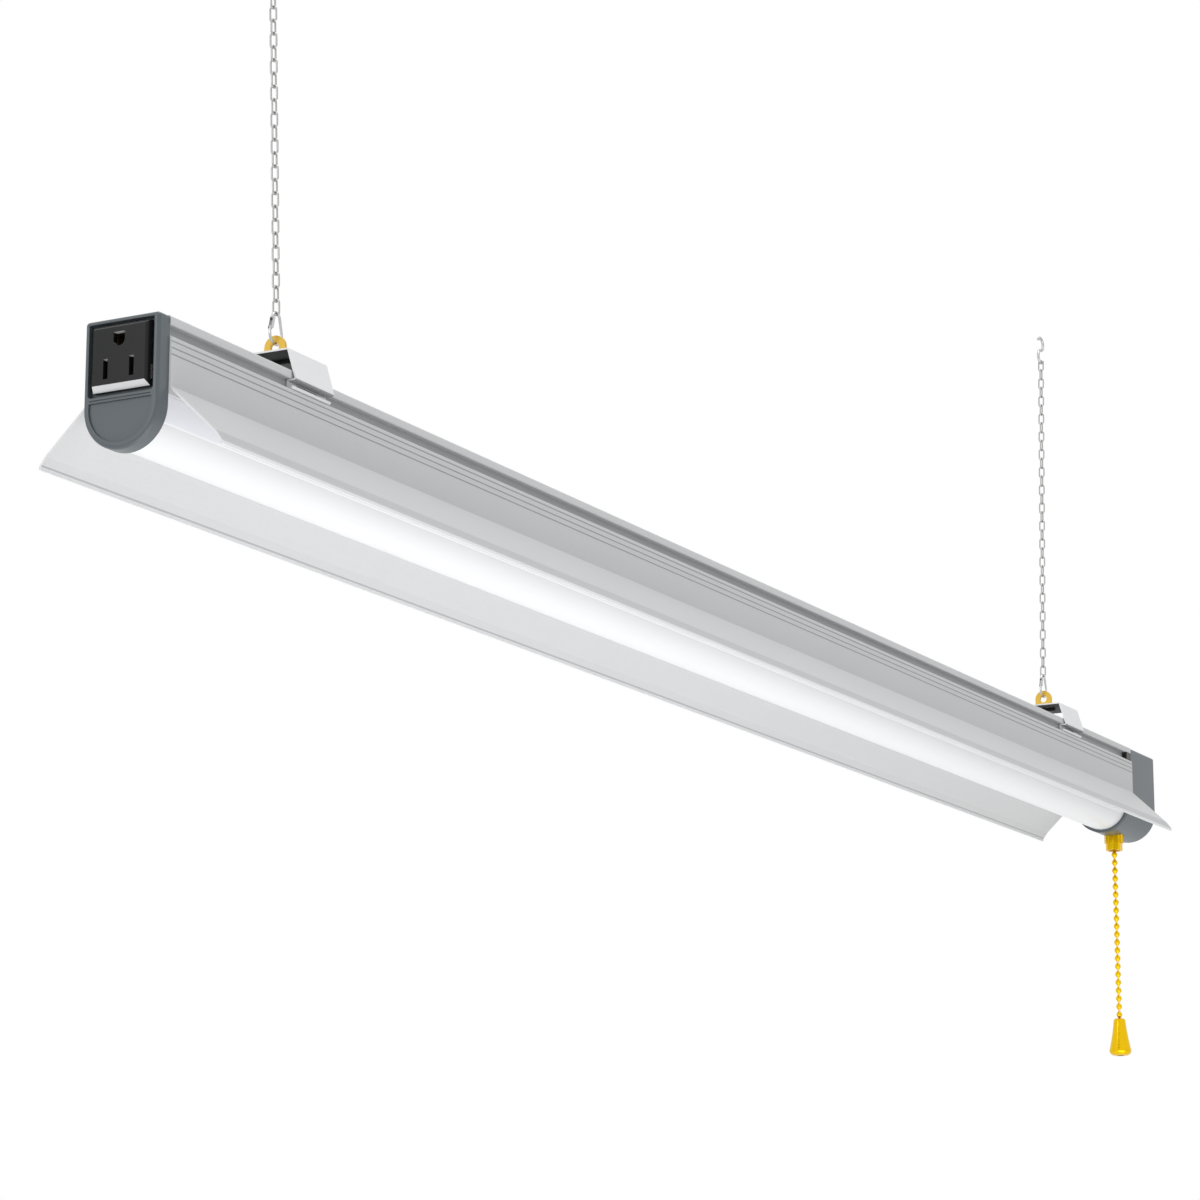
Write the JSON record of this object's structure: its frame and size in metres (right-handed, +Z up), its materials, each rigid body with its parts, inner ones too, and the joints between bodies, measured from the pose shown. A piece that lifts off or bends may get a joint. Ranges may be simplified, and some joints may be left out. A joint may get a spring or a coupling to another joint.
{
  "type": "hanging shop light",
  "caption": "Long hanging shop light: channel with angled reflectors and a frosted tube-shaped diffuser, end caps with an outlet and a pull switch, hung from hooks by chains.",
  "frame": {"origin": "midway between the two ceiling hooks, at the height where each hook bears on what holds it", "axes": "+X along the channel towards the end with the pull switch, +Y across the light towards its back reflector, +Z up"},
  "size_m": [1.1513, 0.0896, 0.4558],
  "materials": {
    "channel_enamel": "satin white enamel on extruded aluminium",
    "reflector_enamel": "satin white enamel on folded sheet",
    "diffuser_frosted": "frosted, milky white",
    "board_mask": "white solder mask",
    "led_resin": "yellow phosphor resin",
    "plated_screws": "zinc plated",
    "galvanised_case": "galvanised sheet",
    "circuit_board": "green glass-fibre board",
    "wire_insulation": "insulated copper",
    "black_plastic": "moulded black",
    "cap_plastic": "fine-grained grey moulding",
    "outlet_plastic": "moulded dark face",
    "contact_brass": "formed strip",
    "gland_rubber": "soft black strain relief",
    "switch_plastic": "moulded switch body",
    "brass": "polished brass",
    "spring_steel": "spring wire",
    "clip_enamel": "white enamel on spring steel",
    "passivated_steel": "yellow passivated",
    "plated_wire": "bright plated wire",
    "chain_steel": "nickel plated wire",
    "hook_steel": "zinc plated wire"
  },
  "bodies": {
    "hooks": {"hook_left": "hook_steel", "hook_right": "hook_steel"},
    "chains": {"chain_left": "chain_steel", "chain_right": "chain_steel"},
    "carabiners": {"carabiner_left": "plated_wire", "carabiner_right": "plated_wire", "gate_pins": "plated_wire"},
    "gate_a": {"gate_left": "plated_wire"},
    "gate_b": {"gate_right": "plated_wire"},
    "hangers": {"clip_left": "clip_enamel", "clip_right": "clip_enamel", "ear_left": "passivated_steel", "ear_right": "passivated_steel"},
    "light": {"channel": "channel_enamel", "reflector_front": "reflector_enamel", "reflector_back": "reflector_enamel", "diffuser": "diffuser_frosted", "led_board": "board_mask", "led_packages": "led_resin", "board_screws": "plated_screws", "driver_case": "galvanised_case", "driver_board": "circuit_board", "through_wires": "wire_insulation", "groove_stops": "black_plastic", "outlet_end_cap": "cap_plastic", "outlet_module": "outlet_plastic", "outlet_contacts": "contact_brass", "outlet_cap_screws": "plated_screws", "switch_end_cap": "cap_plastic", "switch_cap_screws": "plated_screws", "cord_gland": "gland_rubber", "switch_body": "switch_plastic", "switch_bushing": "brass", "switch_spring": "spring_steel"},
    "plunger": {"switch_plunger": "brass"},
    "top_ball": {"first_ball": "brass"},
    "pull_chain": {"pull_balls": "brass", "pull_pins": "brass"},
    "knob": {"pull_knob": "brass"}
  },
  "joints": [
    {"name": "chain_swing", "type": "hinge", "parent": "hooks", "child": "chains", "pos_m": [0, 0, -0.0159], "axis": [1, 0, 0], "range_deg": [-20, 20]},
    {"name": "carabiner_swing", "type": "hinge", "parent": "chains", "child": "carabiners", "pos_m": [0, 0, -0.22396], "axis": [1, 0, 0], "range_deg": [-20, 20]},
    {"name": "gate_open_left", "type": "hinge", "parent": "carabiners", "child": "gate_a", "pos_m": [-0.44522, 0, -0.23162], "axis": [0, 1, 0], "range_deg": [0, 25], "stiffness_Nm_per_rad": 0.002, "springref_deg": -5.73},
    {"name": "gate_open_right", "type": "hinge", "parent": "carabiners", "child": "gate_b", "pos_m": [0.43678, 0, -0.23162], "axis": [0, 1, 0], "range_deg": [0, 25], "stiffness_Nm_per_rad": 0.002, "springref_deg": -5.73},
    {"name": "hanger_tilt", "type": "hinge", "parent": "carabiners", "child": "hangers", "pos_m": [0, 0, -0.23826], "axis": [1, 0, 0], "range_deg": [-20, 20]},
    {"name": "light_slide", "type": "slide", "parent": "hangers", "child": "light", "axis": [1, 0, 0], "range_m": [-0.02, 0.02]},
    {"name": "pull_switch", "type": "slide", "parent": "light", "child": "plunger", "axis": [0, 0, -1], "range_m": [0, 0.006], "stiffness_N_per_m": 900, "springref_m": -0.002, "deforming": ["switch_spring"]},
    {"name": "pull_swing_across", "type": "hinge", "parent": "plunger", "child": "top_ball", "pos_m": [0.559, 0, -0.31789], "axis": [1, 0, 0], "range_deg": [-20, 20]},
    {"name": "pull_swing_along", "type": "hinge", "parent": "top_ball", "child": "pull_chain", "pos_m": [0.559, 0, -0.3246], "axis": [0, 1, 0], "range_deg": [-20, 20]},
    {"name": "knob_swing", "type": "hinge", "parent": "pull_chain", "child": "knob", "pos_m": [0.559, 0, -0.4327], "axis": [1, 0, 0], "range_deg": [-18, 18]}
  ]
}
